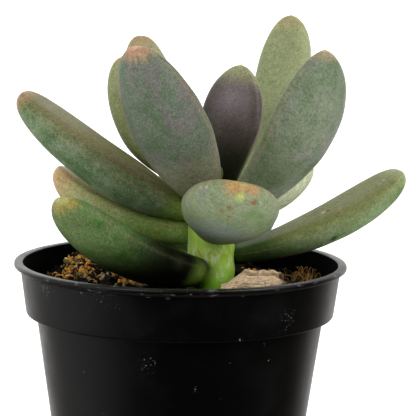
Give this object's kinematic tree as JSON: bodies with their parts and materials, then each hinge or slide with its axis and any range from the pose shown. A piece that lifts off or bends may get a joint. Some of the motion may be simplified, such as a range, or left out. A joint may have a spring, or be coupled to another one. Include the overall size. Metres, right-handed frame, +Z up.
{
  "type": "potted pachyveria",
  "caption": "Small succulent with thick grey-green leaves round a short green stem, rooted in gritty soil in a round black nursery pot with a collar and lip.",
  "frame": {"origin": "middle of the underside of the pot's floor", "axes": "+Z up along the pot's axis; -Y is the side that the picture shows, with +X to its right"},
  "size_m": [0.0778, 0.0673, 0.1052],
  "materials": {
    "black_plastic": "satin moulded black plastic with pale dust and scuffs",
    "potting_mix": "rough gritty potting mix",
    "stem_skin": "satin green stem skin",
    "leaf_skin": "waxy grey-green bloom over smooth leaf skin",
    "dry_leaf": "matt wrinkled papery leaf"
  },
  "bodies": {
    "root": {"pot": "black_plastic", "soil": "potting_mix", "stem": "stem_skin", "dry_leaf": "dry_leaf", "leaf_left_long": "leaf_skin", "leaf_front_left_tall": "leaf_skin", "leaf_left_tall": "leaf_skin", "leaf_back_left_tall": "leaf_skin", "leaf_centre": "leaf_skin", "leaf_back_right_tall": "leaf_skin", "leaf_front_right_tall": "leaf_skin", "leaf_right_short": "leaf_skin", "leaf_front": "leaf_skin", "leaf_right_low": "leaf_skin", "leaf_left_low": "leaf_skin", "leaf_left_middle": "leaf_skin", "leaf_back_middle": "leaf_skin", "leaf_back_left_low": "leaf_skin", "leaf_back_right_low": "leaf_skin", "bud_leaf_left": "leaf_skin", "bud_leaf_front": "leaf_skin"}
  },
  "joints": []
}
